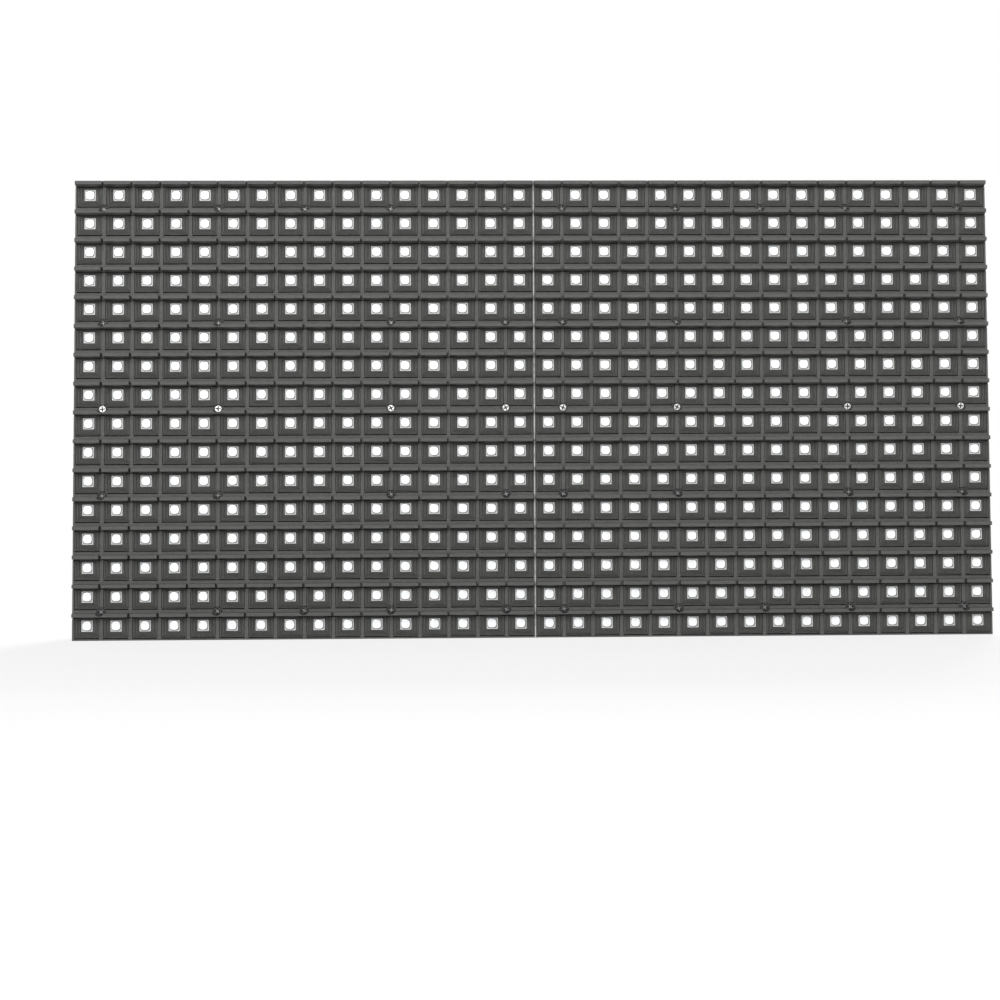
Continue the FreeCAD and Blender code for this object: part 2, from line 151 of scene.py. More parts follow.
def piece(name, shape, material, stands_for=(), merge=False, smooth=None, kinds=None):
    """A finished object from a shape in millimetres about the panel's middle, riding on the part.
    The material is a plain name, or a list of them of which kinds gives each face its own."""
    points, faces = weld(*shape) if merge else shape
    mesh = bpy.data.meshes.new(name)
    mesh.from_pydata((np.asarray(points) + (0, 0, MIDDLE)) * MM, [], faces)
    work = bmesh.new()
    work.from_mesh(mesh)
    bmesh.ops.recalc_face_normals(work, faces=work.faces)
    work.to_mesh(mesh)
    work.free()
    for one in material if isinstance(material, list) else [material]:
        mesh.materials.append(MATERIALS[one])
    if kinds is not None:
        mesh.polygons.foreach_set("material_index", np.asarray(kinds, np.int32))
    if smooth is not None:
        mesh.polygons.foreach_set("use_smooth", [True] * len(mesh.polygons))
        mesh.set_sharp_from_angle(angle=math.radians(smooth))
    mesh.update()
    made = bpy.data.objects.new(name, mesh)
    bpy.context.scene.collection.objects.link(made)
    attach(made, "root")
    if stands_for:
        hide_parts(*stands_for)
    return made


def ring(radius, count, squareness=2.0):
    """Points round a centre. The reach at an angle is the radius over the p-norm of its cosine and
    sine, so that 2 gives a circle, 6 a rounded square and a large number a square."""
    angle = ROUND * np.arange(count) / count
    c, s = np.cos(angle), np.sin(angle)
    norm = (np.abs(c) ** squareness + np.abs(s) ** squareness) ** (1 / squareness)
    return np.column_stack([c, s]) * (radius / norm)[:, None]


def rectangle(left, low, right, high):
    """A rectangle's corners, counter-clockwise."""
    return [(left, low), (right, low), (right, high), (left, high)]


def at_depth(outline, level):
    """A flat outline of (across, up) pairs as points at one depth."""
    outline = np.asarray(outline, float)
    return np.column_stack([outline[:, 0], np.full(len(outline), level), outline[:, 1]])


def skin(rings, start="", end=""):
    """A profile carried round: equal rings joined by quads. Each end may be closed by a face of
    its own ("flat") or by a fan to the ring's middle ("point")."""
    count = len(rings[0])
    points = np.concatenate(rings)
    first = np.arange(count)
    after = np.roll(first, -1)
    quads = np.column_stack([first, after, after + count, first + count])
    steps = np.arange(len(rings) - 1)[:, None, None] * count
    faces = (quads[None] + steps).reshape(-1, 4).tolist()
    for kind, base in ((start, 0), (end, len(points) - count)):
        if kind == "flat":
            faces.append((first + base).tolist())
        elif kind == "point":
            middle = len(points)
            points = np.vstack([points, points[base:base + count].mean(0)])
            faces += [[base + a, base + b, middle] for a, b in zip(first.tolist(), after.tolist())]
    return points, faces


def turned(profile, count, start="", end=""):
    """A shape turned about the depth axis from (radius, depth) pairs."""
    return skin([at_depth(ring(radius, count), level) for radius, level in profile], start, end)


def shifted(outline, distance):
    """A counter-clockwise outline moved outwards along its mitred normals."""
    ahead = np.roll(outline, -1, 0) - outline
    ahead /= np.linalg.norm(ahead, axis=1)[:, None]
    out = np.column_stack([ahead[:, 1], -ahead[:, 0]])
    both = out + np.roll(out, 1, 0)
    return outline + both * (distance * 2 / (both ** 2).sum(1))[:, None]


def rounded(corners, radius, steps):
    """A counter-clockwise outline whose corners are arcs. Each arc's centre lies on the corner's
    bisector, and its points go round from one side's foot to the other's."""
    corners = np.asarray(corners, float)
    back, on = np.roll(corners, 1, 0) - corners, np.roll(corners, -1, 0) - corners
    back /= np.linalg.norm(back, axis=1)[:, None]
    on /= np.linalg.norm(on, axis=1)[:, None]
    half = np.arccos(np.clip((back * on).sum(1), -1, 1)) / 2
    middle = back + on
    middle /= np.linalg.norm(middle, axis=1)[:, None]
    centre = corners + middle * (radius / np.sin(half))[:, None]
    facing = np.arctan2(-middle[:, 1], -middle[:, 0])
    sweep = (math.pi / 2 - half)[:, None] * np.linspace(-1, 1, steps)[None]
    angle = facing[:, None] + sweep
    arcs = centre[:, None] + radius * np.stack([np.cos(angle), np.sin(angle)], 2)
    return arcs.reshape(-1, 2)


def cap(outlines, level):
    """Triangles that fill the first outline and leave the others open, at one depth."""
    corners = tessellate_polygon([[Vector((x, z, 0)) for x, z in run] for run in outlines])
    return at_depth(np.concatenate(outlines), level), [list(corner) for corner in corners]


def wall(outline, profile, start="", end=""):
    """A band that follows an outline through (how far out, depth) pairs."""
    return skin([at_depth(shifted(outline, out), level) for out, level in profile], start, end)


def block(low, high, rims):
    """A box whose rims, as (how far in, share of its depth), run from one end to the other."""
    outline = np.array(rectangle(low[0], low[2], high[0], high[2]), float)
    profile = [(-into, low[1] + share * (high[1] - low[1])) for into, share in rims]
    return wall(outline, profile, "flat", "flat")


def post(width, height, start, stop, share, inset):
    """A block about the panel's middle, from one depth to another, that narrows by an inset to each
    side past a share of its depth."""
    rims = [(0, 0), (0, share), (inset, 1)]
    return block((-width / 2, start, -height / 2), (width / 2, stop, height / 2), rims)


def ribbon(path, width):
    """A flat strip along a path: its edges lie half the width to each side, mitred at the bends."""
    path = np.asarray(path, float)
    along = np.diff(path, axis=0)
    along /= np.linalg.norm(along, axis=1)[:, None]
    side = np.column_stack([-along[:, 1], along[:, 0]])
    before, after = np.vstack([side[:1], side]), np.vstack([side, side[-1:]])
    both = before + after
    both *= (width / (both ** 2).sum(1))[:, None]
    return np.vstack([path + both, (path - both)[::-1]])


class Finish:
    """Builds one procedural material from noise in Object coordinates."""

    def __init__(self, name, colour, roughness, **sockets):
        self.material = bpy.data.materials.new(name)
        self.material.use_nodes = True
        self.nodes, self.links = self.material.node_tree.nodes, self.material.node_tree.links
        self.shader = self.nodes["Principled BSDF"]
        self.shader.inputs["Base Color"].default_value = (*colour, 1)
        self.shader.inputs["Roughness"].default_value = roughness
        for socket, setting in sockets.items():
            self.shader.inputs[socket.replace("_", " ")].default_value = setting
        self.place = self.nodes.new("ShaderNodeTexCoord").outputs["Object"]
        self.colour = colour
        self.bump = None
        self.material.diffuse_color = (*colour, 1)

    def node(self, kind, **inputs):
        """A new node, each of whose inputs takes a value or is linked to another node's output."""
        made = self.nodes.new("ShaderNode" + kind)
        for name, given in inputs.items():
            socket = made.inputs[name.replace("_", " ")]
            if isinstance(given, bpy.types.NodeSocket):
                self.links.new(given, socket)
            else:
                socket.default_value = given
        return made

    def noise(self, scale, detail=3.0, stretch=None):
        """Noise at one size, drawn out along an axis where stretch says so."""
        place = self.place
        if stretch:
            place = self.node("Mapping", Scale=stretch, Vector=place).outputs["Vector"]
        return self.node("TexNoise", Scale=scale, Detail=detail, Vector=place).outputs["Fac"]

    def ramp(self, source, low, high, start, end):
        """Source spread between two values over part of its range."""
        return self.node("MapRange", Value=source, From_Min=start, From_Max=end, To_Min=low,
                         To_Max=high).outputs["Result"]

    def tint(self, source, other, start=0.35, end=0.65):
        """Mix another colour into the base colour where the source is high."""
        mix = self.nodes.new("ShaderNodeMix")
        mix.data_type = "RGBA"
        before = self.shader.inputs["Base Color"].links
        if before:
            self.links.new(before[0].from_socket, mix.inputs["A"])
        else:
            mix.inputs["A"].default_value = (*self.colour, 1)
        mix.inputs["B"].default_value = (*other, 1)
        self.links.new(self.ramp(source, 0.0, 1.0, start, end), mix.inputs["Factor"])
        self.links.new(mix.outputs["Result"], self.shader.inputs["Base Color"])
        return self

    def rough(self, source, low, high):
        """Lead the roughness from one value to another as the source rises."""
        self.links.new(self.ramp(source, low, high, 0.3, 0.7), self.shader.inputs["Roughness"])
        return self

    def relief(self, source, height):
        """Raise the surface by a height in millimetres where the source is high."""
        below = {"Normal": self.bump} if self.bump else {}
        self.bump = self.node("Bump", Distance=height * MM, Height=source, **below).outputs["Normal"]
        self.links.new(self.bump, self.shader.inputs["Normal"])
        return self


def tone(colour, share):
    """A lighter or darker tone of a colour."""
    return tuple(min(1.0, part * share) for part in colour)


MATERIALS = {}


def moulded(name, colour, grain, roughness):
    """Moulded plastic with an eroded grain, slightly uneven in tone."""
    made = Finish(name, colour, roughness, Specular_IOR_Level=0.4)
    fine, broad = made.noise(grain, 2), made.noise(grain / 16, 3)
    made.tint(broad, tone(colour, 1.15), 0.4, 0.7).tint(fine, tone(colour, 0.6), 0.42, 0.66)
    made.tint(made.noise(grain * 0.8, 1), tone(colour, 1.5), 0.56, 0.72)
    made.rough(fine, roughness - 0.08, roughness + 0.12).relief(fine, 0.09).relief(broad, 0.03)
    return made.material


def metal(name, colour, roughness, mark):
    """Bright metal with fine marks and a cloudy film."""
    made = Finish(name, colour, roughness, Metallic=1.0)
    cloud, fine = made.noise(mark / 6, 4), made.noise(mark, 4, (1, 0.2, 1))
    made.tint(cloud, tone(colour, 0.72), 0.4, 0.8).rough(fine, roughness - 0.06, roughness + 0.14)
    return made.relief(fine, 0.012).material


def patched(name, colour, roughness, grain, other, span=(0.35, 0.65), shine=None, height=0.0,
            fine=None, **sockets):
    """A colour that goes over to another one where noise of a (size, detail, stretch) is high. The
    same noise leads the roughness between two values, and it or a fine one raises the surface."""
    made = Finish(name, colour, roughness, **sockets)
    patch = made.noise(*grain)
    made.tint(patch, other, *span)
    if shine:
        made.rough(patch, *shine)
    if height:
        made.relief(made.noise(fine) if fine else patch, height)
    return made.material


def board_green(colour):
    """Solder mask over a woven board: a broad cloud, and the weave drawn flat under it."""
    made = Finish("solder_mask_green", colour, 0.34, Specular_IOR_Level=0.2)
    weave, cloud = made.noise(2600, 2, (1, 1, 3)), made.noise(60, 3)
    made.tint(cloud, tone(colour, 1.25)).tint(weave, tone(colour, 0.82), 0.5, 0.7)
    return made.rough(cloud, 0.24, 0.4).relief(weave, 0.015).material


def finishes(colours):
    """Every material of the panel, by a plain name."""
    made = MATERIALS
    made["mask"] = moulded("mask_plastic", colours.mask, 4200, 0.62)
    made["housing"] = moulded("housing_plastic", colours.housing, 2400, 0.6)
    # Near-black plastic for the headers, capacitor feet and can marks; the same material is painted
    # shade in the bright screws' pits and in the collars round the screws.
    made["header"] = moulded("black_plastic_and_painted_shade", (0.02, 0.02, 0.021), 5000, 0.5)
    made["brass"] = metal("brass", colours.brass, 0.24, 6000)
    made["tin"] = metal("tinned_metal", (0.68, 0.68, 0.67), 0.3, 7000)
    made["aluminium"] = metal("aluminium", (0.76, 0.77, 0.78), 0.3, 5000)
    made["zinc"] = metal("zinc_plate", (0.68, 0.68, 0.66), 0.26, 6000)
    made["board"] = board_green(colours.board)
    rare = (0.5, 0.8)
    made["chip"] = patched("chip_resin", (0.012, 0.012, 0.013), 0.55, (9000, 2), (0.03, 0.03, 0.032),
                           rare, (0.42, 0.6), 0.02, Specular_IOR_Level=0.3)
    made["led"] = patched("led_body_white", colours.led, 0.45, (900, 3), tone(colours.led, 0.88),
                          shine=(0.38, 0.55), height=0.01, fine=6000, Subsurface_Weight=0.1,
                          Subsurface_Scale=0.001)
    # The LED's cup round the lens: a dark grey that is painted shade in the groove between the lens and
    # the package.
    made["cup"] = patched("led_cup_painted_shade", (0.09, 0.09, 0.085), 0.5, (2500, 3), (0.14, 0.14, 0.13),
                          shine=(0.4, 0.6))
    made["lens"] = patched("lens_resin", colours.lens, 0.18, (1500, 3), tone(colours.lens, 0.94),
                           shine=(0.12, 0.26), Coat_Weight=0.6, Coat_Roughness=0.05)
    made["oxide"] = patched("black_oxide", (0.012, 0.012, 0.012), 0.5, (4000, 4), (0.03, 0.03, 0.03),
                            rare, (0.4, 0.6), 0.01, Specular_IOR_Level=0.15)
    # Pale oxide for the black screws' upper edge and cross pit: a painted highlight.
    made["screw_highlight"] = patched("oxide_painted_highlight", (0.3, 0.3, 0.3), 0.5, (6000, 4, (1, 1, 0.3)),
                           (0.09, 0.09, 0.09), shine=(0.4, 0.6), height=0.01, Metallic=0.5)
    for name, lit in (("track", (0.08, 0.54, 0.32)), ("bare_track", (0.22, 0.68, 0.48))):
        made[name] = patched("covered_copper_" + name, lit, 0.34, (400, 3), tone(lit, 0.75),
                             shine=(0.24, 0.4), height=0.01, fine=5000, Specular_IOR_Level=0.3)
    made["ink"] = patched("white_ink", (0.8, 0.8, 0.77), 0.6, (5000, 3), (0.62, 0.65, 0.6), rare,
                          height=0.01)
    made["seam"] = patched("pale_seam", (0.5, 0.5, 0.48), 0.7, (700, 4), (0.2, 0.2, 0.19),
                           (0.45, 0.7), height=0.05)


# The mask


def window_cell(mask, corner=""):
    """One window of the mask about its LED, as polygons of (across, up, depth below the front).

    The window's sides are treads that step inwards and down, carried round its left, lower and
    right side, with a groove at each step. Above it lies a slot, and over that the visor, whose
    profile is carried across, past the window's sides, and draws in evenly at both ends as it
    stands out. A screw at the upper corner bites a round end off the visor and joins it to its
    neighbour below the bite; one at the lower corner shortens the drip groove."""
    h, w, low, high = PITCH / 2, mask.window_half, -mask.window_below, mask.window_above
    v = mask.visor_half
    groove = h - mask.bite if corner == "lower" else w
    strip, drip, deep = mask.groove_low, mask.groove_high, mask.groove_depth
    slot, eave, notch = mask.slot_depth, high + mask.slot_height, 0.8
    top, reach, rear = mask.visor_top, -mask.visor_reach, BOARD_FRONT - TIP - mask.visor_reach
    faces = []

    def flat(*corners, depth=0.0):
        """A polygon at one depth."""
        faces.append([(x, z, depth) for x, z in corners])

    def both(*corners):
        """A polygon on the left and its mirror image on the right."""
        faces.append([(-x, z, d) for x, z, d in corners])
        faces.append([(x, z, d) for x, z, d in corners])

    def sides(corners, start, stop):
        """The sides of a hole, from one depth to another."""
        for (x0, z0), (x1, z1) in zip(corners, corners[1:] + corners[:1]):
            faces.append([(x0, z0, start), (x1, z1, start), (x1, z1, stop), (x0, z0, stop)])

    # The front plane in rows, from the cell's lower edge past the sunk drip groove to the window.
    rows = [(-h, -h, -h, h, h), (strip, -h, -w, groove, h),
            (drip, -h, -w, groove, h), (low, -h, -w, w, h)]
    for (z0, *under), (z1, *over) in pairwise(rows):
        for k in range(3):
            sunk = deep if k == 1 and z0 == strip else 0.0
            flat((under[k], z0), (under[k + 1], z0), (over[k + 1], z1), (over[k], z1), depth=sunk)
    sides(rectangle(-w, strip, groove, drip), 0, deep)

    # The ribs at the window's sides, notched beside the slot, and the slot itself.
    valley = (high + eave) / 2
    rib = [(low, 0), (high, 0), (valley, notch), (eave, 0)]
    for (z0, d0), (z1, d1) in pairwise(rib):
        both((h, z0, d0), (w, z0, d0), (w, z1, d1), (h, z1, d1))
    both(*[(w, z, d) for z, d in rib[1:]], (w, eave, slot), (w, high, slot))
    flat(*rectangle(-w, high, w, eave), depth=slot)
    faces.append([(-w, eave, slot), (w, eave, slot), (w, eave, 0), (-w, eave, 0)])

    # The treads: flat, each lower than the one outside it, with a sharp groove at its outer side.
    gap, first, lift = mask.tread_groove, 0.8, 0.8
    highest, fall, nick = 0.2, 0.13, 0.45
    columns = [(w, low, 0.0), (w, low, first)]
    for k in range(mask.steps):
        x, z, level = w - mask.tread * k, low + lift * mask.tread * k, highest + fall * k
        if k:
            columns.append((x - gap / 2, z + gap / 2, level + nick))
        columns.append((x - gap, z + gap, level))
        columns.append((x - mask.tread, z + lift * mask.tread, level))
    x, z, level = columns[-1]
    columns.append((x - 0.02, z + 0.02, mask.floor_depth))
    both((w, high, first), (w, high, 0), (w, low, 0), (w, low, first))
    for j, ((xa, za, da), (xb, zb, db)) in enumerate(pairwise(columns)):
        if j:
            both((xa, high, da), (xa, za, da), (xb, zb, db), (xb, high, db))
        faces.append([(-xa, za, da), (xa, za, da), (xb, zb, db), (-xb, zb, db)])
    profile = columns[1:]
    faces.append([(-x, high, d) for x, _, d in profile] + [(x, high, d) for x, _, d in profile[::-1]]
                 + [(w, high, slot), (-w, high, slot)])

    # The floor round the LED, the hole and the mask's rear.
    hole, (xf, zf, floor) = mask.hole_half, columns[-1]
    inner = rectangle(-hole, -hole, hole, hole)
    for outer, depth in ((rectangle(-xf, zf, xf, high), floor), (rectangle(-h, -h, h, h), rear)):
        for i in range(4):
            flat(outer[i - 1], outer[i], inner[i], inner[i - 1], depth=depth)
    sides(inner, floor, rear)

    # The visor: a slanted underside, a blunt front and a flat top.
    lower = [(eave, 0), (eave + 0.25, 0.92 * reach), (eave + 0.35, reach)]
    upper = [(top - 0.15, reach), (top, reach + 0.15)]

    def end(depth):
        """From the middle to the visor's end: the taper grows evenly as the visor stands out."""
        return v - mask.visor_taper * depth / reach

    if corner == "upper":
        bite, join = mask.bite, h - mask.bite
        heights = [(join, reach), (join + 0.3, reach), *upper]
        edge = [(h - math.sqrt(max(0.0, bite ** 2 - (h - z) ** 2)), z, d) for z, d in heights]
        across = [(h, z, d) for z, d in lower] + edge
        for (x0, z0, d0), (x1, z1, d1) in pairwise(edge):
            faces.append([(x0, z0, d0), (x1, z1, d1), (x1, z1, 0), (x0, z0, 0)])
        flat(*[(x, z) for x, z, _ in edge[::-1]], (h, h))
        last = edge[-1][0]
    else:
        across = [(end(d), z, d) for z, d in lower + upper]
        last = v
        faces.append(across + [(v, top, 0)])
        flat(*rectangle(v, eave, h, top))
        flat((v, top), (h, top), (h, h))
    flat((-v, top), (last, top), (h, h), (-h, h))
    faces.append([(-end(d), z, d) for _, z, d in across] + [(-v, top, 0)])
    across.append((last, top, 0))
    for (x0, z0, d0), (x1, z1, d1) in pairwise(across):
        faces.append([(-end(d0), z0, d0), (x0, z0, d0), (x1, z1, d1), (-end(d1), z1, d1)])
    flat(*rectangle(-h, eave, -v, top))
    flat((-v, top), (-h, top), (-h, h))
    edges = [(strip, 0), (drip, 0), (low, 0), (high, 0), (valley, notch), (eave, 0), (top, 0)]
    return faces, edges, rear


def mask_half(mask, side):
    """Every cell of one half, with the walls round it and the seam's side drawn back."""
    front = TIP + mask.visor_reach
    shapes, screws = [], set(MASK_SCREWS)
    columns = COLUMNS[COLUMNS * side > 0]
    kinds = {}
    for x in columns.tolist():
        for z in ROWS.tolist():
            found = [
                (name, across)
                for name, up in (("upper", 5), ("lower", -5))
                for across in (1, -1)
                if (round(x + 5 * across), round(z + up)) in screws
            ]
            kinds.setdefault(found[0] if found else ("", 1), []).append((x, z))
    for (corner, across), places in kinds.items():
        polygons, edges, rear = window_cell(mask, corner)
        turned_over = [[(x * across, front + d, z) for x, z, d in face] for face in polygons]
        shapes.append(repeated(from_polygons(turned_over), places))
    h = PITCH / 2
    ends = []
    for x in (0.0, side * HALF_WIDTH):
        side_wall = [(x, front, -h)] + [(x, front + d, z) for z, d in edges] + [(x, front, h)]
        ends.append(side_wall + [(x, front + rear, h), (x, front + rear, -h)])
    shapes.append(repeated(from_polygons(ends), [(0, z) for z in ROWS]))
    rims = [
        [(-h, front, z), (h, front, z), (h, front + rear, z), (-h, front + rear, z)]
        for z in (-HALF_HEIGHT, HALF_HEIGHT)
    ]
    shapes.append(repeated(from_polygons(rims), [(x, 0) for x in columns]))
    points, faces = joined(shapes)
    points[np.abs(points[:, 0]) < 0.01, 0] = side * SEAM
    return points, faces


def screw(size):
    """A pan head with a cross recess: round rims that close over a flat with a cross-shaped pit. It
    comes with how many of its faces are plain side, upper edge, flat and pit."""
    r, tall, arm, thick = size / 2, 0.5, 0.35 * size, 0.085 * size
    count = 24
    rims = [(r, 0.0), (r, 0.2), (0.94 * r, 0.38), (0.84 * r, tall)]
    head = skin([at_depth(ring(a, count), -d) for a, d in rims], "flat")
    arm_end = np.array([(thick, -thick), (arm, -thick), (arm, thick)])
    quarter = np.array([[0, 1], [-1, 0]])
    cross = np.concatenate([arm_end @ np.linalg.matrix_power(quarter, k) for k in range(4)])
    lid = cap([ring(0.84 * r, count), cross], -tall)
    pit = skin([at_depth(cross, -tall), at_depth(cross * 0.8, -0.1)], "", "flat")
    return joined([head, lid, pit]), [2 * count, count, 1 + len(lid[1]), len(pit[1])]


# The housing


def mirrored(runs, across, up):
    """Outlines mirrored to another side, turned round so that they stay counter-clockwise."""
    return [[(across * x, up * z) for x, z in run[::-1]] for run in runs]


def bays():
    """The openings between the ribs, counter-clockwise, in millimetres from the panel's middle.
    Each side lies half a rib from its rib's middle line, or that times root two on a slant."""
    thin, slant = 1.2, 1.2 * math.sqrt(2)
    level, posts, edge, end = 30, (10, 50, 80, 110), 60.8, 141.5
    first, second, _, last = posts
    row, near = level - thin, level + thin
    narrow, broad = first - slant + thin, first + edge - level - slant
    upper = [[(-narrow, near), (narrow, near), (broad, edge), (-broad, edge)]]
    right = [rectangle(inner + thin, -row, outer - thin, row) for inner, outer in pairwise(posts)]
    corner, high = level + thin - slant, level + end - last - slant
    right.append([(last + thin, -corner), (end, -high), (end, high), (last + thin, corner)])
    shift = edge - near
    for inner, outer in ((first, second), (second, last)):
        start, stop = inner + thin + slant, outer + thin - slant
        upper.append([(start, near), (stop, near), (stop + shift, edge), (start + shift, edge)])
    upper += mirrored(upper[1:], -1, 1)
    middle = [rectangle(thin - first, -row, first - thin, row)] + right + mirrored(right, -1, 1)
    return middle + upper + mirrored(upper, 1, -1)


def loop_with_swells(half_width, half_height, radius, swell, width):
    """A rounded rectangle whose sides swell by a smooth step near each boss: a cubic that rises
    over the outer part of the width and stays level in the middle."""
    spacing, sloping, far_out = 0.9, 0.62, 140
    line = rounded(rectangle(-half_width, -half_height, half_width, half_height), radius, 16)
    dense = []
    for here, there in zip(line, np.roll(line, -1, 0)):
        count = max(1, int(np.linalg.norm(there - here) / spacing))
        dense.append(here + (there - here) * (np.arange(count) / count)[:, None])
    points = np.concatenate(dense)
    for boss in BOSSES:
        axis = 0 if abs(boss[0]) > far_out else 1
        facing = np.sign(boss[axis])
        near = points[:, axis] * facing > (half_width, half_height)[axis] - 0.01
        away = np.abs(points[:, 1 - axis] - boss[1 - axis])
        t = np.clip((width - away) / (width * sloping), 0, 1) * near
        points[:, axis] += facing * swell * t * t * (3 - 2 * t)
    return points


def housing_shape(housing):
    """The moulding as walls that follow its outlines and flat caps between them."""
    field, ledge = REAR - housing.field_depth, BOARD_REAR + housing.foot_height
    w, h, lip, land = HALF_WIDTH, HALF_HEIGHT, 1.5, housing.land_width
    foot, rim = housing.foot_width, housing.rim
    outer = rounded(rectangle(-w, -h, w, h), 0.8, 5)
    seat = rounded(rectangle(lip - w, lip - h, w - lip, h - lip), 0.5, 3)
    step = loop_with_swells(w - land, h - land, radius=18.0, swell=1.35, width=6.2)
    line = loop_with_swells(w - 15.3, h - 16.5, radius=7.5, swell=-1.4, width=6.4)
    openings = [rounded(run, 1.3, 5) for run in bays()]
    hollow, r, bore, pin = 4.22, 4.0, 2.7, 1.25
    holes = [ring(hollow, 40) + spot for spot in BOSSES]
    rib = [(rim, field), (0, field - rim), (0, ledge - 1.0), (-0.3, ledge - 1.0), (-0.34, ledge),
           (0.12 - foot, ledge), (-foot, ledge - 0.12), (-foot, BOARD_REAR)]
    boss = turned([(hollow, field), (r + 0.12, field - 0.4), (r, field - 0.4), (r, REAR - rim),
                   (r - rim, REAR), (bore + 0.08, REAR), (bore, REAR - 0.1), (bore, INSERT_END)],
                  40, "", "point")
    peg = turned([(pin, field), (pin, PEG_END - 0.35), (pin - 0.12, PEG_END - 0.1), (0.85, PEG_END)],
                 24, "", "point")
    return joined([
        wall(outer, [(-rim, REAR), (0, REAR - rim), (0, BOARD_FRONT)]),
        wall(seat, [(0, BOARD_FRONT), (0, BOARD_REAR)]),
        wall(step, [(rim, REAR), (0, REAR - rim), (0, field - 0.4), (-0.24, field - 0.4),
                    (-0.3, field)]),
        wall(line, [(0.16, field), (0, field - 0.22), (-0.16, field)]),
        cap([shifted(outer, -rim), shifted(step, rim)], REAR),
        cap([outer, seat], BOARD_FRONT),
        cap([shifted(step, -0.3), shifted(line, 0.16), *holes, ring(pin, 24) + PEG], field),
        cap([shifted(line, -0.16)] + [shifted(run, rim) for run in openings], field),
        cap([seat] + [shifted(run, -foot) for run in openings], BOARD_REAR),
        *[wall(run, rib) for run in openings],
        repeated(boss, BOSSES),
        repeated(peg, [PEG]),
    ])


def insert_shape(width, bore):
    """A brass bush: a rim with a chamfer, and a thread as rings that swing between core and crest."""
    r, core, crest, count = width / 2, bore / 2, bore / 2 + 0.3, 32
    turns, rise = 18, 0.35
    thread = [(crest if i % 2 else core, REAR - 0.55 - rise * i) for i in range(turns)]
    profile = [(r - 0.12, INSERT_END), (r, INSERT_END + 0.2), (r, REAR - 0.12), (r - 0.12, REAR),
               (crest + 0.22, REAR), (crest, REAR - 0.25), *thread, (core, INSERT_END)]
    points, faces = turned(profile, count)
    last = len(points) - count
    faces += [[i, (i + 1) % count, last + (i + 1) % count, last + i] for i in range(count)]
    return points, faces


# The board's rear side


def gull_leads(count, pitch, body, reach, width):
    """Leads along both long sides of a chip: each goes out, bends down and ends in a foot."""
    top, foot, sheet = BOARD_REAR + 0.75, BOARD_REAR + 0.02, 0.15
    path = [(body - 0.1, top), (body + 0.3, top), (body + 0.55, foot + sheet), (reach, foot + sheet)]
    lower = [(reach, foot), (body + 0.42, foot), (body + 0.2, top - sheet), (body - 0.1, top - sheet)]
    profile = np.array(path + lower)
    shapes = []
    for side in (-1, 1):
        ends = [
            np.column_stack([np.full(len(profile), x), profile[:, 1], side * profile[:, 0]])
            for x in (-width / 2, width / 2)
        ]
        shapes.append(skin(ends, "flat", "flat"))
    return repeated(joined(shapes), [(pitch * (i - (count - 1) / 2), 0) for i in range(count)])


def tracks(seed, spacing, width):
    """Bundles of parallel strips that run along the board and turn by half right angles, in two
    layers: along it and, fewer and shorter, up it. All numbers come from one seeded generator.
    Each layer has three heights, which neighbouring bundles take in turn, so no two tops meet."""
    luck = np.random.default_rng(seed)
    strips = {(layer, height): [] for layer in (0, 1) for height in (0, 1, 2)}
    ends = []
    for layer, (span, cross, longest) in enumerate(((150.0, 74.0, 90), (74.0, 150.0, 30))):
        lane, bundle = -cross, 0
        while lane < cross - 4:
            count = int(luck.integers(1, 3) if layer else luck.integers(2, 8))
            start = -span + luck.uniform(0, 30)
            while start < span - 20:
                stop = min(span, start + luck.uniform(12, longest))
                knee = start + (stop - start) * luck.uniform(0.25, 0.7)
                jog = luck.choice([-1, 0, 1]) * luck.uniform(1.0, 2.4)
                base = np.array([(start, 0), (knee, 0), (knee + abs(jog), jog), (stop, jog)])
                if abs(jog) < 0.2:
                    base = base[[0, 3]]
                for i in range(count):
                    path = base + (0, lane + i * spacing)
                    path[[0, -1], 0] += luck.uniform(0, 2.5)
                    path = path[:, ::-1] if layer else path
                    path = np.clip(path, -BOARD_REACH, BOARD_REACH)
                    strips[layer, bundle % 3].append(ribbon(path, width))
                    ends += [path[0], path[-1]]
                start = stop + luck.uniform(3, 12) * (1 + 3 * layer)
            lane += count * spacing + (luck.uniform(8, 20) if layer else luck.uniform(1.5, 5))
            bundle += 1
    drilled = 0.35
    return strips, np.array(ends)[luck.random(len(ends)) < drilled]


def fan(place, count, pitch, luck):
    """Strips from a chip's feet: straight out, then at half a right angle away from its middle,
    then straight on. A foot nearer to the middle goes further before it turns."""
    foot, width, left_out = 2.2, 0.2, 0.25
    strips, ends = [], []
    for side in (-1, 1):
        for i in range(count):
            if luck.random() < left_out:
                continue
            lean = i - (count - 1) / 2
            out = 3.2 + 0.5 * (count / 2 - abs(lean)) + luck.uniform(0, 0.3)
            turn = 0.6 + 0.55 * abs(lean)
            far = luck.uniform(0.8, 5.0)
            start, stop = pitch * lean, pitch * lean + np.sign(lean) * turn
            path = np.array([(start, foot), (start, out), (stop, out + turn), (stop, out + turn + far)])
            path = path * (1, side) + place
            if np.all(np.abs(path) < BOARD_REACH):
                strips.append(ribbon(path, width))
                ends.append(path[-1])
    return strips, ends


def plates(outlines, level, thick=0.03, strips=False):
    """Thin raised plates of any outline: each one's edge and its top. A strip's top is a row of
    quads, each between a pair of points on one edge and the pair across from it."""
    shapes = []
    for run in outlines:
        edge = [at_depth(run, level), at_depth(run, level + thick)]
        points, faces = skin(edge, "", "" if strips else "flat")
        if strips:
            n = len(run)
            faces += [[n + i, n + i + 1, 2 * n - 2 - i, 2 * n - 1 - i] for i in range(n // 2 - 1)]
        shapes.append((points, faces))
    return joined(shapes)


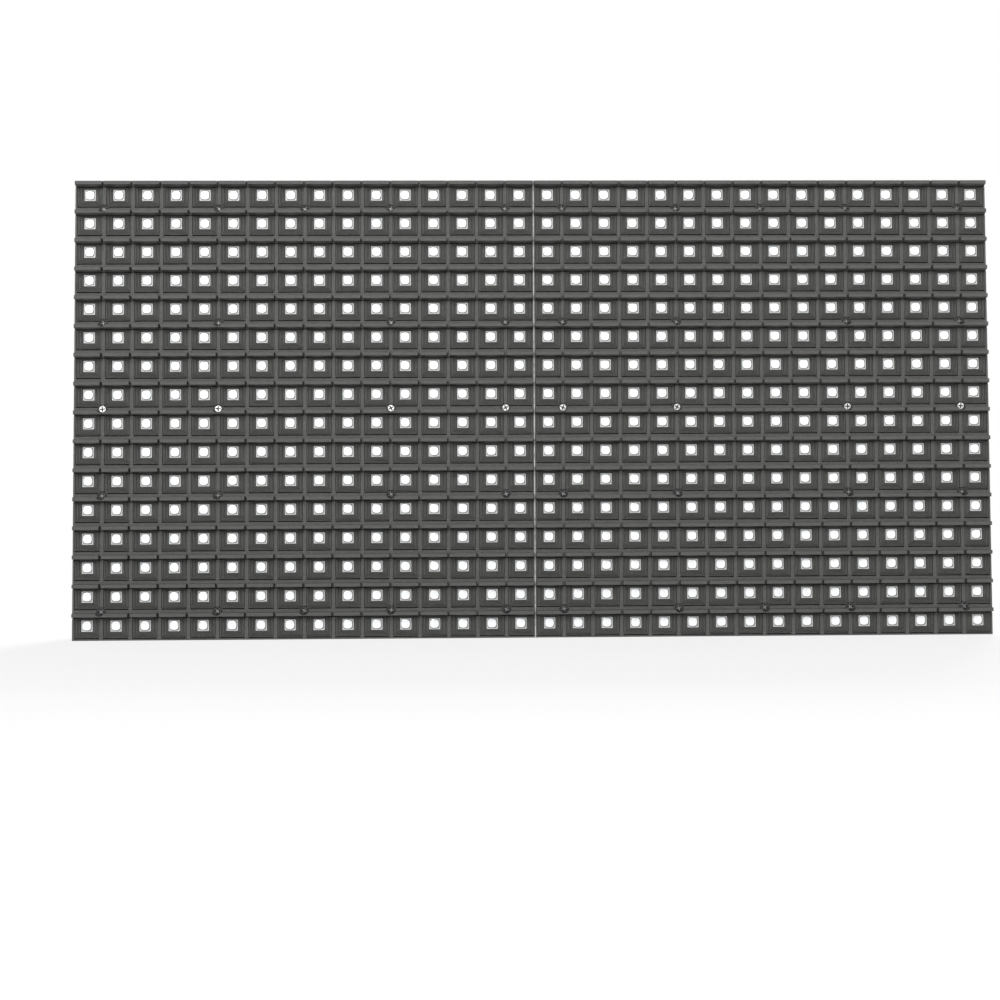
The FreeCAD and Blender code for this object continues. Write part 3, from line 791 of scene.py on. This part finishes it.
def frame_outline(width, height, line):
    """A thin rectangular frame as four strips about its middle."""
    corners = rectangle(-width / 2, -height / 2, width / 2, height / 2)
    return [ribbon([corners[i - 1], corners[i]], line) for i in range(4)]


def middle_of(node):
    """A node's (across, up) middle: half the sum of its lowest and highest corner."""
    low, high = limits(node)
    return ((low + high) / 2)[[0, 2]]


def nodes_named(word):
    """The nodes whose names start with a word, in order."""
    return sorted(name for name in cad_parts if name.startswith(word))


def array_places():
    """A pair of resistor arrays beside each driver chip, at equal ways from one line."""
    beside, apart = -6.75, 1.02
    return [middle_of(node) + (beside + across, 0)
            for node in nodes_named("driver_chip") for across in (-apart, apart)]


def printed_marks(line):
    """The frames round resistor arrays, data headers and capacitors, a dot at each driver chip and
    two arrows, each as a flat outline."""
    frames = [(place, 2.0, 3.7) for place in array_places()]
    frames += [((x, 0), 10.4, 29.6) for x in (-127.8, 127.8)]
    frames += [(middle_of(node), 8.9, 8.9) for node in nodes_named("capacitor_base")]
    marks = [run + place for place, *size in frames for run in frame_outline(*size, line)]
    marks += [ring(0.25, 10) + middle_of(node) + (4.9, -2.6) for node in nodes_named("driver_chip")]
    arrow = np.array([(3.3, -1.25), (-0.2, -1.25), (-0.2, -2.7), (-3.3, 0), (-0.2, 2.7), (-0.2, 1.25),
                      (3.3, 1.25)])
    return marks + [arrow + (x, -37.5) for x in (87.0, -88.0)]


# What a user may change


def length(name, default, description):
    """A length in millimetres."""
    return FloatProperty(name=name, default=default, description=description, precision=3)


def paint(name, default, description):
    """A colour, scene linear."""
    return FloatVectorProperty(name=name, default=default, size=3, subtype="COLOR", min=0, max=1,
                               description=description)


class PanelMaskSizes(bpy.types.PropertyGroup):
    """Sizes of the louvred mask, in millimetres."""

    window_half: length("Half window", 4.35, "From the LED's middle to the window's side")
    window_below: length("Window below", 3.8, "From the LED's middle to the window's lower edge")
    window_above: length("Window above", 2.65, "From the LED's middle to the slot under the visor")
    steps: IntProperty(name="Treads", default=4, min=2, max=8, description="Steps round each LED")
    tread: length("Tread", 0.5, "Width of one step")
    tread_groove: length("Tread groove", 0.2, "Width of the groove at a step's outer side")
    floor_depth: length("Floor depth", 1.0, "How deep the window's floor lies")
    hole_half: length("Half hole", 2.05, "From the LED's middle to the hole's side")
    visor_reach: length("Visor reach", 3.2, "How far the visors stand out")
    visor_top: length("Visor top", 4.5, "From the LED's middle to the visor's upper side")
    visor_half: length("Half visor", 4.58, "From the LED's middle to the visor's end")
    visor_taper: length("Visor taper", 0.06, "How far each end of a visor draws in")
    slot_height: length("Slot height", 0.3, "Height of the slot under a visor")
    slot_depth: length("Slot depth", 1.7, "Depth of the slot under a visor")
    groove_low: length("Groove low", -4.47, "Lower edge of the drip groove")
    groove_high: length("Groove high", -4.02, "Upper edge of the drip groove")
    groove_depth: length("Groove depth", 1.6, "Depth of the drip groove")
    bite: length("Screw room", 1.58, "Radius of the room round a screw")
    screw_width: length("Screw head", 2.56, "Width of a screw's head")


class PanelHousingSizes(bpy.types.PropertyGroup):
    """Sizes of the rear housing, in millimetres."""

    land_width: length("Land", 4.4, "Width of the outer land")
    field_depth: length("Field depth", 2.5, "How deep the field lies below the land")
    foot_width: length("Foot", 1.2, "How far a rib's foot stands out")
    foot_height: length("Foot height", 6.6, "How tall a rib's foot is")
    rim: length("Rim", 0.22, "Chamfer along the edges")


class PanelBoardSizes(bpy.types.PropertyGroup):
    """Sizes of what lies on the board, in millimetres."""

    seed: IntProperty(name="Seed", default=11, description="Seed of the tracks' generator")
    track_width: length("Track", 0.32, "Width of a track")
    track_spacing: length("Track spacing", 0.75, "From one track to the next")
    ink_width: length("Ink line", 0.22, "Width of a printed line")


class PanelColours(bpy.types.PropertyGroup):
    """Colours of the panel, scene linear."""

    mask: paint("Mask", (0.064, 0.064, 0.06), "Moulded mask")
    housing: paint("Housing", (0.27, 0.278, 0.277), "Moulded rear housing")
    led: paint("LED body", (0.53, 0.54, 0.53), "Moulded LED package")
    lens: paint("LED lens", (0.86, 0.87, 0.88), "Lens of an LED")
    brass: paint("Brass", (0.93, 0.7, 0.23), "Threaded inserts")
    board: paint("Board", (0.01, 0.37, 0.175), "Solder mask")


class PanelStageSettings(bpy.types.PropertyGroup):
    """The camera and the lamps."""

    focal: FloatProperty(name="Focal length", default=61.2, subtype="DISTANCE_CAMERA",
                         description="Focal length of the camera")
    key: FloatProperty(name="Key light", default=15.0, subtype="POWER",
                       description="Power of the key light")
    sky: FloatProperty(name="Sky", default=0.3, description="Strength of the surroundings")


GROUPS = {
    "panel_mask": PanelMaskSizes,
    "panel_housing": PanelHousingSizes,
    "panel_board": PanelBoardSizes,
    "panel_colours": PanelColours,
    "panel_stage": PanelStageSettings,
}


class PANEL_OT_finishes(bpy.types.Operator):
    """Make the panel's materials and give the board its own"""

    bl_idname = "led_panel.finishes"
    bl_label = "Finishes"

    def execute(self, context):
        finishes(context.scene.panel_colours)
        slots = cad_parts["circuit_board"].data.materials
        slots.clear()
        slots.append(MATERIALS["board"])
        return {"FINISHED"}


class PANEL_OT_mask(bpy.types.Operator):
    """Mould both halves of the louvred mask, with the seam between them"""

    bl_idname = "led_panel.mask"
    bl_label = "Mask"

    def execute(self, context):
        mask = context.scene.panel_mask
        for name, side in (("left", -1), ("right", 1)):
            piece("mask_windows_" + name, mask_half(mask, side), "mask",
                  ("mask_" + name,), merge=True)
        front = TIP + mask.visor_reach
        strip = block((-SEAM, front + 0.02, -HALF_HEIGHT), (SEAM, BOARD_FRONT, HALF_HEIGHT),
                      [(0.02, 0.0), (0.0, 0.03), (0.0, 1.0)])
        piece("mask_seam_strip", strip, "seam")
        return {"FINISHED"}


class PANEL_OT_screws(bpy.types.Operator):
    """Set the small screws of the mask in their collars"""

    bl_idname = "led_panel.screws"
    bl_label = "Mask screws"

    def execute(self, context):
        mask = context.scene.panel_mask
        front = TIP + mask.visor_reach
        (points, faces), bands = screw(mask.screw_width)
        # Each screw's second material is painted light: on the black screws the pale oxide on the upper
        # edge and in the cross pit is painted highlight, and in the bright screws' cross pit the
        # near-black plastic is painted shade.
        for name, on_middle, material, recess, edge in (
            ("mask_screws", False, "oxide", "screw_highlight", 1),
            ("mask_screws_bright", True, "zinc", "header", 0),
        ):
            heads = []
            for x, z in MASK_SCREWS:
                if (z == 0) == on_middle:
                    angle = 0.9 * x + 0.37 * z
                    c, s = math.cos(angle), math.sin(angle)
                    spun = points @ np.array([[c, 0, s], [0, 1, 0], [-s, 0, c]])
                    heads.append((spun + (x, front, z), faces))
            piece(name, joined(heads), [material, recess], smooth=25,
                  kinds=np.tile(np.repeat([0, edge, 0, 1], bands), len(heads)))
        # The floor ring inside each collar is near-black plastic: painted shade in the gap round the
        # screw head.
        r, count = mask.bite - 0.02, 28
        profile = [(r, 0), (r, 0.42), (r - 0.03, 0.46), (r - 0.06, 0.42), (r - 0.07, 0.02), (1.1, 0.02)]
        collar = turned([(radius, front - out) for radius, out in profile], count)
        kinds = np.repeat([0, 1], [4 * count, count])
        piece("screw_collars", repeated(collar, MASK_SCREWS), ["mask", "header"],
              smooth=40, kinds=np.tile(kinds, len(MASK_SCREWS)))
        return {"FINISHED"}


class PANEL_OT_leds(bpy.types.Operator):
    """Place the LED packages line by line, and their lenses"""

    bl_idname = "led_panel.leds"
    bl_label = "LEDs"

    def execute(self, context):
        count, flat, domed = 16, 60, 3.3
        rims = [(1.96, flat, BOARD_FRONT), (1.96, flat, LED_TOP + 0.12), (1.9, flat, LED_TOP),
                (1.68, 5, LED_TOP), (1.64, 5, LED_TOP + 0.3)]
        body = skin([at_depth(ring(r, count, p), level) for r, p, level in rims], "flat", "flat")
        # The cup's wall and floor take the dark grey, painted shade round the lens; the rest of the
        # package is white.
        cup_shade_faces = np.repeat([0, 1, 0, 1], [3 * count, count, 1, 1])
        rims = [(1.51, domed, LED_TOP + 0.29), (1.51, domed, LED_TOP - 0.02), (1.15, 3, LED_TOP - 0.13)]
        dome = skin([at_depth(ring(r, count, p), level) for r, p, level in rims], "flat", "point")
        for number, z in enumerate(ROWS, start=1):
            piece("led_packages_%02d" % number, repeated(body, [(x, z) for x in COLUMNS]),
                  ["led", "cup"], ("led_row_%02d" % number,),
                  kinds=np.tile(cup_shade_faces, len(COLUMNS)))
        # Each lens sits a little left of and above its package's middle, so the cup's painted shade
        # shows wider to the right and below.
        places = [(x - 0.09, z + 0.06) for z in ROWS for x in COLUMNS]
        piece("led_lenses", repeated(dome, places), "lens", smooth=50)
        return {"FINISHED"}


class PANEL_OT_housing(bpy.types.Operator):
    """Mould the rear housing and set the brass inserts in its bosses"""

    bl_idname = "led_panel.housing"
    bl_label = "Rear housing"

    def execute(self, context):
        housing = context.scene.panel_housing
        piece("rear_housing", housing_shape(housing), "housing",
              ("rear_frame",), merge=True, smooth=28)
        piece("threaded_inserts", repeated(insert_shape(5.36, 2.9), BOSSES), "brass",
              ("brass_inserts",), smooth=28)
        return {"FINISHED"}


class PANEL_OT_board(bpy.types.Operator):
    """Lay the tracks, pads, vias and printed lines on the board's rear side"""

    bl_idname = "led_panel.board"
    bl_label = "Board"

    def execute(self, context):
        board = context.scene.panel_board
        strips, ends = tracks(board.seed, board.track_spacing, board.track_width)
        luck = np.random.default_rng(board.seed + 1)
        fans, tips = [], list(ends)
        for node in nodes_named("driver_chip"):
            some, theirs = fan(middle_of(node), *DRIVER_LEADS, luck)
            fans += some
            tips += theirs
        for layer, (name, material, low) in enumerate((("board_tracks", "track", 0.032),
                                                       ("board_cross_tracks", "bare_track", 0.016))):
            shapes = [plates(strips[layer, height], BOARD_REAR, low + 0.004 * height, True)
                      for height in range(3)]
            piece(name, joined(shapes), material)
        piece("chip_tracks", plates(fans, BOARD_REAR, 0.05, True), "bare_track")
        via = turned([(0.24, BOARD_REAR), (0.24, BOARD_REAR + 0.06), (0.12, BOARD_REAR + 0.06),
                      (0.1, BOARD_REAR + 0.03)], 8, "", "flat")
        piece("board_vias", repeated(via, tips), "ink")
        pad = turned([(4.4, BOARD_REAR), (4.4, BOARD_REAR + 0.045), (1.7, BOARD_REAR + 0.045)], 48)
        spots = [(x, z) for x in (-110, -50, -10, 10, 50, 110) for z in (-30, 30)]
        piece("screw_pads", repeated(pad, spots), "tin")
        marks = plates(printed_marks(board.ink_width), BOARD_REAR + 0.05, 0.02)
        piece("board_marks", marks, "ink")
        return {"FINISHED"}


class PANEL_OT_chips(bpy.types.Operator):
    """Place the chips, their leads and the resistor arrays beside them"""

    bl_idname = "led_panel.chips"
    bl_label = "Chips"

    def execute(self, context):
        rims = [(0.22, 0.05), (0.06, 0.42), (0.06, 0.52), (0.2, 0.95), (0.27, 1.0)]
        leads = []
        for word, legs in (("driver_chip", gull_leads(*DRIVER_LEADS, body=1.95, reach=3.4, width=0.3)),
                           ("logic_chip", gull_leads(4, 1.27, body=1.95, reach=3.3, width=0.45))):
            for node in nodes_named(word):
                piece(node.replace("chip", "body"), block(*limits(node), rims), "chip",
                      (node,))
                leads.append(repeated(legs, [middle_of(node)]))
        places = array_places()
        body = post(1.0, 3.1, BOARD_REAR, BOARD_REAR + 0.5, 0.8, 0.08)
        tab = post(0.4, 0.4, BOARD_REAR, BOARD_REAR + 0.52, 0.9, 0.05)
        tabs = [place + (dx, dz) for place in places for dz in (-1.2, -0.4, 0.4, 1.2)
                for dx in (-0.55, 0.55)]
        piece("chip_leads", joined(leads), "tin")
        piece("resistor_arrays", repeated(body, places), "chip")
        piece("resistor_ends", repeated(tab, tabs), "tin")
        return {"FINISHED"}


class PANEL_OT_capacitors(bpy.types.Operator):
    """Turn the capacitors' cans and chamfer their feet"""

    bl_idname = "led_panel.capacitors"
    bl_label = "Capacitors"

    def execute(self, context):
        for number in (1, 2):
            base, can = "capacitor_base_%d" % number, "capacitor_can_%d" % number
            place, (low, high) = middle_of(can), limits(can)
            foot, top, r = low[1], high[1], 3.28
            profile = [(r - 0.3, foot), (r, foot + 0.3), (r, foot + 0.9), (r - 0.22, foot + 1.15),
                       (r, foot + 1.4), (r, top - 0.55), (r - 0.16, top - 0.18), (r - 0.5, top)]
            piece("can_%d" % number, repeated(turned(profile, 48, "flat", "flat"), [place]),
                  "aluminium", (can,), smooth=30)
            angle = np.radians(np.linspace(-12, 102, 20))
            segment = np.column_stack([-np.cos(angle), np.sin(angle)])[::-1] * 2.72 + place
            piece("can_mark_%d" % number, plates([segment], top - 0.005, 0.02), "header")
            place, (low, high) = middle_of(base), limits(base)
            foot, top, half, cut = low[1], high[1], 3.5, 1.1
            tab = post(2.2, 0.9, foot, foot + 0.3, 0.7, 0.08)
            piece("can_tabs_%d" % number, repeated(tab, [place - (3, 0), place + (3, 0)]),
                  "tin")
            outline = place + [(-half, -half), (half - cut, -half), (half, cut - half),
                               (half, half - cut), (half - cut, half), (-half, half)]
            shape = wall(outline, [(0, foot), (0, top - 0.2), (-0.2, top)], "flat", "flat")
            piece("can_foot_%d" % number, shape, "header", (base,))
        return {"FINISHED"}


class PANEL_OT_headers(bpy.types.Operator):
    """Round the headers' edges and fit their pins"""

    bl_idname = "led_panel.headers"
    bl_label = "Headers"

    def execute(self, context):
        for node in HEADERS:
            work = bmesh.new()
            work.from_mesh(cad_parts[node].data)
            bmesh.ops.remove_doubles(work, verts=work.verts, dist=1e-6)
            bmesh.ops.dissolve_limit(work, angle_limit=0.01, verts=work.verts, edges=work.edges)
            work.verts.index_update()
            points = [np.array(corner.co) / MM - (0, 0, MIDDLE) for corner in work.verts]
            faces = [[corner.index for corner in face.verts] for face in work.faces]
            work.free()
            shroud = piece(node.replace("header", "shroud"), (points, faces), "header", (node,))
            rounding = shroud.modifiers.new("rounding", "BEVEL")
            rounding.width = 0.2 * MM
            rounding.segments = 2
        pin = post(0.64, 0.64, BOARD_REAR + 1.5, BOARD_REAR + 8.2, 0.93, 0.16)
        spots = [middle_of(node) + (dx, 2.54 * (i - 3.5))
                 for node in HEADERS[:2] for dx in (-1.27, 1.27) for i in range(8)]
        piece("header_pins", repeated(pin, spots), "brass")
        pin = post(1.14, 1.14, BOARD_REAR + 2.5, BOARD_REAR + 8.3, 0.9, 0.25)
        spots = [middle_of(HEADERS[2]) + (3.96 * (i - 1.5), -0.6) for i in range(4)]
        piece("supply_pins", repeated(pin, spots), "tin")
        return {"FINISHED"}


class PANEL_OT_stage(bpy.types.Operator):
    """Set the floor, the lamps, the surroundings and the camera"""

    bl_idname = "led_panel.stage"
    bl_label = "Stage"

    def execute(self, context):
        scene = context.scene
        stage = scene.panel_stage
        floor = bpy.data.objects.new("floor", bpy.data.meshes.new("floor"))
        floor.data.from_pydata([(-6, -6, 0), (6, -6, 0), (6, 6, 0), (-6, 6, 0)], [], [(0, 1, 2, 3)])
        pale = Finish("pale_floor", (0.86, 0.86, 0.86), 0.9)
        distance = pale.node("VectorMath", Vector=pale.place)
        distance.operation = "LENGTH"
        share = pale.node("Math")
        share.operation = "MULTIPLY"
        tree = pale.material.node_tree
        pale.links.new(seen_directly(tree), share.inputs[0])
        pale.links.new(pale.ramp(distance.outputs["Value"], 0.72, 1.0, 0.15, 0.75), share.inputs[1])
        glow = pale.node("Emission", Color=(1, 1, 1, 1))
        mixed(tree, share.outputs[0], pale.shader, glow, "Material Output")
        floor.data.materials.append(pale.material)
        scene.collection.objects.link(floor)

        world = bpy.data.worlds.new("studio")
        scene.world = world
        world.use_nodes = True
        tree = world.node_tree
        soft, white = tree.nodes["Background"], tree.nodes.new("ShaderNodeBackground")
        for source, strength in ((soft, stage.sky), (white, 1.0)):
            source.inputs["Color"].default_value = (1, 1, 1, 1)
            source.inputs["Strength"].default_value = strength
        mixed(tree, seen_directly(tree), soft, white, "World Output")

        target = Vector((0, 0, MIDDLE * MM))
        for name, place, size, power in (
            ("key_light", (-0.35, -1.15, 0.62), 0.6, stage.key),
            ("fill_light", (0.85, -0.95, 0.4), 0.9, stage.key * 0.3),
            ("rear_light", (0.3, 1.0, 0.9), 0.6, stage.key),
        ):
            lamp = bpy.data.lights.new(name, "AREA")
            lamp.size = size
            lamp.energy = power
            light = bpy.data.objects.new(name, lamp)
            light.location = place
            light.rotation_euler = (Vector(place) - target).to_track_quat("Z", "Y").to_euler()
            scene.collection.objects.link(light)

        # The camera's place and turn follow from how the picture shows the grid of LEDs.
        camera = bpy.data.objects.new("camera", bpy.data.cameras.new("camera"))
        camera.data.lens = stage.focal
        camera.data.sensor_width = 36.0
        camera.data.clip_start = 0.01
        camera.data.shift_x, camera.data.shift_y = -0.0342, -0.0923
        camera.location = (-0.01523, (LED_TOP - 594.17) * MM, (MIDDLE - 29.53) * MM)
        camera.rotation_euler = Euler([math.radians(angle) for angle in (92.8428, 0.3045, -1.452)])
        scene.collection.objects.link(camera)
        scene.camera = camera
        scene.view_settings.view_transform = "Standard"
        return {"FINISHED"}


def seen_directly(tree):
    """One for camera, glossy and transmission rays, and nothing for the rest."""
    path = tree.nodes.new("ShaderNodeLightPath")
    found = path.outputs["Is Camera Ray"]
    for kind in ("Is Glossy Ray", "Is Transmission Ray"):
        larger = tree.nodes.new("ShaderNodeMath")
        larger.operation = "MAXIMUM"
        tree.links.new(found, larger.inputs[0])
        tree.links.new(path.outputs[kind], larger.inputs[1])
        found = larger.outputs[0]
    return found


def mixed(tree, share, first, second, output):
    """Two shaders mixed by a share, led to the output."""
    mix = tree.nodes.new("ShaderNodeMixShader")
    for socket, source in zip(mix.inputs, (share, first.outputs[0], second.outputs[0])):
        tree.links.new(source, socket)
    tree.links.new(mix.outputs[0], tree.nodes[output].inputs["Surface"])


STEPS = (
    PANEL_OT_finishes, PANEL_OT_mask, PANEL_OT_screws, PANEL_OT_leds, PANEL_OT_housing,
    PANEL_OT_board, PANEL_OT_chips, PANEL_OT_capacitors, PANEL_OT_headers, PANEL_OT_stage,
)


class VIEW3D_PT_led_panel(bpy.types.Panel):
    """Lists the panel's settings and steps"""

    bl_label = "LED Panel"
    bl_space_type = "VIEW_3D"
    bl_region_type = "UI"
    bl_category = "LED Panel"

    def draw(self, context):
        layout = self.layout
        for name, group in GROUPS.items():
            column = layout.column(align=True)
            column.label(text=group.__doc__.split(",")[0].rstrip("."))
            for setting in group.__annotations__:
                column.prop(getattr(context.scene, name), setting)
        for step in STEPS:
            layout.operator(step.bl_idname)


def register():
    """Make the classes and the scene's settings known."""
    for item in (*GROUPS.values(), *STEPS, VIEW3D_PT_led_panel):
        bpy.utils.register_class(item)
    for name, group in GROUPS.items():
        setattr(bpy.types.Scene, name, PointerProperty(type=group))


def unregister():
    """Take back what register() did, in the opposite order."""
    for name in GROUPS:
        delattr(bpy.types.Scene, name)
    for item in (VIEW3D_PT_led_panel, *STEPS[::-1], *list(GROUPS.values())[::-1]):
        bpy.utils.unregister_class(item)


def main():
    """Run every step."""
    register()
    for step in STEPS:
        getattr(bpy.ops.led_panel, step.bl_idname.partition(".")[2])()


if __name__ == "__main__":
    main()
